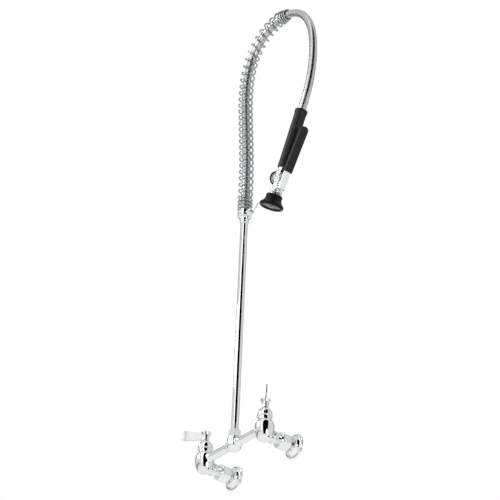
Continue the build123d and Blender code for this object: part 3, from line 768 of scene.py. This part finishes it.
# ---------------------------------------------------------------- spray nozzle
# The handset hangs tilted from the hook. Its nose is a plated cup with a
# perforated disc, in a thick black rubber bumper.
handset_tilt = 24.0
on_handset = Matrix.Translation((98, reach_y, 594)) @ Matrix.Rotation(math.radians(handset_tilt), 4, "Y")
neck_z = 26.0
face_z = -4.0
rubber, tree, skin = new_material("black rubber")
where = own_place(tree)
bloom = cloud(tree, where, 60.0, 4.0)
skin.inputs["Specular IOR Level"].default_value = 0.12
tree.links.new(two_tones(tree, bloom, (0.003, 0.003, 0.003), (0.010, 0.010, 0.010)),
               skin.inputs["Base Color"])
tree.links.new(spread(tree, bloom, 0.24, 0.40), skin.inputs["Roughness"])
raised(tree, skin, cloud(tree, where, 1500.0, 2.0, 0.6), 0.00006)
bumper = bmesh.new()
turned(bumper, [(12.5, neck_z - 2.5), (16.6, neck_z - 2.5),
                *arc((17, neck_z - 2.6), (18.5, neck_z - 3.3), (19.2, neck_z - 5), 5),
                (19.2, 17.5), *arc((18.8, 17), (18.5, 16.2), (18.9, 15.4), 3),
                *arc((19.1, 15), (21, 8.6), (26.2, 2.2), 8),
                *arc((26.4, 1.8), (28.5, -2.4), (26.6, -6.4), 9),
                *arc((26, -6.8), (24.6, -7), (23, -6.6), 4),
                (22.05, -5.6), (22.05, face_z + 4), (12.5, face_z + 14.5)], on_handset, 0, steps=96)
make_piece("rubber_bumper", bumper, "riser", "black_rubber", rubber, "spray_bell")
cup = bmesh.new()
turned(cup, [(8.1, neck_z), (12.0, neck_z), (12.4, neck_z - 0.5), (12.4, face_z + 14.6), (22, face_z + 4),
             (22, face_z), (20, face_z),
             (20, face_z + 2.6), (9.2, face_z + 10), (8.1, face_z + 12)], on_handset, 0.2, steps=96)
make_piece("nozzle_shell", cup, "riser", "chrome", chrome, "nozzle_cup", even=True)
dark_face, tree, skin = new_material("dark punched steel")
skin.inputs["Metallic"].default_value = 1.0
grind = tree.nodes.new("ShaderNodeMapping")
grind.inputs["Scale"].default_value = (60.0, 1500.0, 60.0)
tree.links.new(own_place(tree), grind.inputs["Vector"])
lines = cloud(tree, grind.outputs["Vector"], 1.0, 3.0, 0.6)
tree.links.new(two_tones(tree, lines, (0.16, 0.16, 0.16), (0.30, 0.30, 0.31)), skin.inputs["Base Color"])
tree.links.new(spread(tree, lines, 0.22, 0.38), skin.inputs["Roughness"])
raised(tree, skin, lines, 0.00003)
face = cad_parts["spray_face"]
face.data.materials.clear()
face.data.materials.append(dark_face)

# ---------------------------------------------------------------- spray valve
# Chrome casting: an upright waterway crossed by the valve's bore, with a lug
# for the lever's pin. A domed cap closes the bore and a ring locks the neck.
across = on_handset @ Matrix.Translation((0, 0, 66)) @ Matrix.Rotation(math.radians(90), 4, "Y")
body = bmesh.new()
turned(body, [(0, face_z + 19), (8, face_z + 19), (8, neck_z + 0.4), (10, neck_z + 0.6), (10, 38),
              *arc((10, 40), (10.4, 42.4), (11.4, 44), 4),
              *arc((11.4, 50), (13.2, 53), (13.2, 57), 4), (13.2, 75),
              *arc((13.2, 76), (12.6, 80), (11, 83), 4), (11, 100), (0, 100)],
       on_handset, 0.3)
turned(body, [(0, -13.9), (13, -13.9), (13.5, -13.4), (13.5, 9.6),
              *arc((13.5, 9.8), (12.9, 11.2), (11.6, 11.6), 4), (6.5, 11.6),
              (6.2, 11), (0, 11)], across, 0.25)
lug = bmesh.new()
bmesh.ops.create_cube(lug, size=1.0)
bmesh.ops.transform(lug, matrix=on_handset @ Matrix.Translation((10, 0, 43)) @ Matrix.Diagonal((16, 14.2,
    12, 1)), verts=lug.verts)
soften_edges(lug, 2.2, 4)
add_shell(body, lug)
make_piece("spray_valve_casting", body, "riser", "chrome", chrome, "valve_body", even=True)
cap = bmesh.new()
turned(cap, [(0, -26), *arc((0, -26), (8, -25.1), (12.6, -22.6), 6)[1:],
             *arc((13.2, -22), (14.8, -20.4), (15, -18.6), 4),
             (15, -15.6), (14.2, -14), (9.95, -14), (9.95, -9.6), (7.4, -9.6), (7.4, -16), (0, -16)],
             across, 0.3)
band = bmesh.new()
turned(band, [(15.03, -18.4), *arc((15.4, -18.7), (17.1, -16.4), (15.4, -14.1), 9), (15.03, -14.4)], across,
       0, steps=72)
for face in band.faces:
    face.material_index = 1
add_shell(cap, band)
domed_cap = make_piece("domed_cap", cap, "riser", "chrome", chrome, "valve_bonnet", even=True)
domed_cap.data.materials.append(rubber)
lock = bmesh.new()
turned(lock, [(10.1, neck_z + 7), (13.4, neck_z + 7), (14, neck_z + 7.6), (14, neck_z + 8.9),
              (13.4, neck_z + 9.5), (10.1, neck_z + 9.5)],
       on_handset, 0.2)
make_piece("lock_ring", lock, "riser", "chrome", chrome, "neck_ring")

# ---------------------------------------------------------------- squeeze lever
# Pressed steel channel, chrome plated, that turns on a pin at the neck, with a
# black moulded cover pushed over its upper part.
lever_angle = 7.0
lever_offset = 3.5
lever_width = 18.0
sheet = 1.6
at_pivot = on_handset @ Matrix.Translation((15, 0, 40)) @ Matrix.Rotation(math.radians(lever_angle), 4, "Y")


def bent_channel(low, high, outside, depth, width, thick, slices):
    """A channel of bent sheet: a U-shaped section stood up and extruded in slices."""
    bm = bmesh.new()
    half = width / 2
    outer = [(outside + thick - depth, -half), (outside, -half), (outside + thick, -half + thick),
             (outside + thick, half - thick), (outside, half), (outside + thick - depth, half)]
    inner = [(outside + thick - depth, half - thick), (outside, half - thick), (outside, -half + thick),
             (outside + thick - depth, -half + thick)]
    section = bm.faces.new([bm.verts.new((x, y, low)) for x, y in outer + inner])
    faces = [section]
    for _ in range(slices):
        made = bmesh.ops.extrude_face_region(bm, geom=faces)["geom"]
        faces = [part for part in made if isinstance(part, bmesh.types.BMFace)]
        verts = [part for part in made if isinstance(part, bmesh.types.BMVert)]
        bmesh.ops.translate(bm, vec=(0, 0, (high - low) / slices), verts=verts)
    return bm


channel = bent_channel(-1.5, 149, lever_offset, 5.6, lever_width, sheet, 1)
bmesh.ops.recalc_face_normals(channel, faces=channel.faces)
soften_edges(channel, 0.6, 3)
for y in (-lever_width / 2 + sheet / 2, lever_width / 2 - sheet / 2):
    flat_out = Matrix.Translation((0, y, 0)) @ Matrix.Rotation(math.radians(90), 4, "X")
    turned(channel, [(2.05, -sheet / 2), (4.6, -sheet / 2), (4.6, sheet / 2), (2.05, sheet / 2)], flat_out,
           0.25, steps=48)
    web = bmesh.new()
    bmesh.ops.create_cube(web, size=1.0)
    bmesh.ops.transform(web, matrix=Matrix.Translation((4.0, y, 0.5)) @ Matrix.Diagonal((2.6, sheet * 0.98,
        7, 1)), verts=web.verts)
    soften_edges(web, 0.2, 1)
    add_shell(channel, web)
bmesh.ops.transform(channel, matrix=at_pivot, verts=channel.verts)
make_piece("pressed_lever", channel, "lever", "chrome", chrome, "squeeze_lever", even=True)

grip_plastic, tree, skin = new_material("black grip plastic")
where = own_place(tree)
mottle = cloud(tree, where, 70.0, 4.0)
pits = tree.nodes.new("ShaderNodeTexVoronoi")
pits.inputs["Scale"].default_value = 1100.0
tree.links.new(where, pits.inputs["Vector"])
skin.inputs["Specular IOR Level"].default_value = 0.25
tree.links.new(two_tones(tree, mottle, (0.005, 0.005, 0.005), (0.018, 0.018, 0.018)),
               skin.inputs["Base Color"])
tree.links.new(spread(tree, mottle, 0.30, 0.48), skin.inputs["Roughness"])
raised(tree, skin, pits.outputs["Distance"], 0.00010, 0.7)
cover = bmesh.new()
bmesh.ops.create_cube(cover, size=1.0)
bmesh.ops.transform(cover, matrix=Matrix.Translation((2.9, 0, 96.5)) @ Matrix.Diagonal((8.4, 21, 113, 1)),
                    verts=cover.verts)
top_corners = [
    e for e in cover.edges
    if all(v.co.z > 150 for v in e.verts) and abs(e.verts[0].co.x - e.verts[1].co.x) > 5
]
bmesh.ops.bevel(cover, geom=top_corners, offset=9.4, offset_type="OFFSET", segments=10, profile=0.5,
                affect="EDGES", clamp_overlap=True, material=-1)
hollow = [f for f in cover.faces if f.normal.x < -0.9]
bmesh.ops.inset_region(cover, faces=hollow, thickness=1.5, depth=0)
hollow = [f for f in cover.faces if f.normal.x < -0.9 and abs(f.calc_center_median().y) < 5]
sunk = bmesh.ops.extrude_face_region(cover, geom=hollow)["geom"]
bmesh.ops.delete(cover, geom=hollow, context="FACES")
bmesh.ops.translate(cover, vec=(4.6, 0, 0),
                    verts=[part for part in sunk if isinstance(part, bmesh.types.BMVert)])
rims = [
    e for e in cover.edges
    if len(e.link_faces) == 2 and e.calc_face_angle(0.0) > math.radians(40) and all(v.co.x > 5 for v in e.verts)
]
bmesh.ops.bevel(cover, geom=rims, offset=2.2, offset_type="OFFSET", segments=5, profile=0.5, affect="EDGES",
                clamp_overlap=True, material=-1)
for groove in range(9):
    rib = bmesh.new()
    bmesh.ops.create_cube(rib, size=1.0)
    bmesh.ops.transform(rib, matrix=Matrix.Translation((6.9, 0, 62 + 9 * groove)) @ Matrix.Diagonal((0.9,
        12, 2.2, 1)), verts=rib.verts)
    soften_edges(rib, 0.4, 2)
    add_shell(cover, rib)
bmesh.ops.transform(cover, matrix=at_pivot, verts=cover.verts)
make_piece("lever_cover", cover, "lever", "black_plastic", grip_plastic, "lever_grip", even=True)
pin = bmesh.new()
crosswise = on_handset @ Matrix.Translation((15, 0, 40)) @ Matrix.Rotation(math.radians(90), 4, "X")
turned(pin, [(0, -10.6), (2.4, -10.6), (3.2, -9.9), (3.2, -9.1), (2, -9.1), (2, 9.1), (3.2, 9.1),
             (3.2, 9.9), (2.4, 10.6), (0, 10.6)],
       crosswise, 0.2, steps=48)
make_piece("lever_pin", pin, "riser", "steel", plain_steel, "pivot_pin", even=True)

# ---------------------------------------------------------------- grip
# Black moulded sleeve on the handset's tube, a little wider at the top where
# the hose goes in.
sleeve = bmesh.new()
turned(sleeve, [(11.1, 90), (12.6, 90), *arc((13, 90.1), (13.8, 90.7), (14, 92), 3), (14, 224.5),
                *arc((14.1, 225), (14.5, 227.5), (14.9, 229), 3),
                (14.9, 234.6), *arc((14.8, 235), (14.2, 236.4), (13.2, 237), 4), (10.7, 237), (10.7, 216),
                (11.1, 215)], on_handset, 0, steps=96)
make_piece("grip_cover", sleeve, "riser", "black_plastic", grip_plastic, "grip_sleeve")

# ---------------------------------------------------------------- inner parts
# Everything inside the valves and the handset keeps its own shape, and takes
# the brass, steel or rubber it is made of.
brass, tree, skin = new_material("machined brass")
skin.inputs["Metallic"].default_value = 1.0
found = placed_group(tree, marks, Vector=own_place(tree), Size=90.0, Scratches=0.8)
tree.links.new(two_tones(tree, found["Tone"], (0.62, 0.42, 0.18), (0.84, 0.64, 0.32)),
               skin.inputs["Base Color"])
tree.links.new(spread(tree, found["Mask"], 0.18, 0.4), skin.inputs["Roughness"])
raised(tree, skin, found["Height"], 0.00004)
seal = moulded("seal rubber", (0.012, 0.012, 0.012), (0.035, 0.035, 0.035), 0.5, 0.7, 0.0, 0.00005, 1200.0)
for name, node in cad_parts.items():
    if node.hide_render or name in ("finger_hook", "spray_face"):
        continue
    kind = next((k for k in ("packing", "gasket", "washer", "seal") if name.endswith(k)), None)
    finish = seal if kind and name != "riser_gland_washer" else brass
    if name in ("hook_set_screw", "left_handle_screw", "right_handle_screw", "face_screw", "handle_tube",
                "upper_ferrule"):
        finish = plain_steel
    if name.endswith(("_stem", "_gland", "plunger")):
        finish = plain_steel
    if name == "plunger_spring":
        finish = spring_wire
    node.data.materials.clear()
    node.data.materials.append(finish)
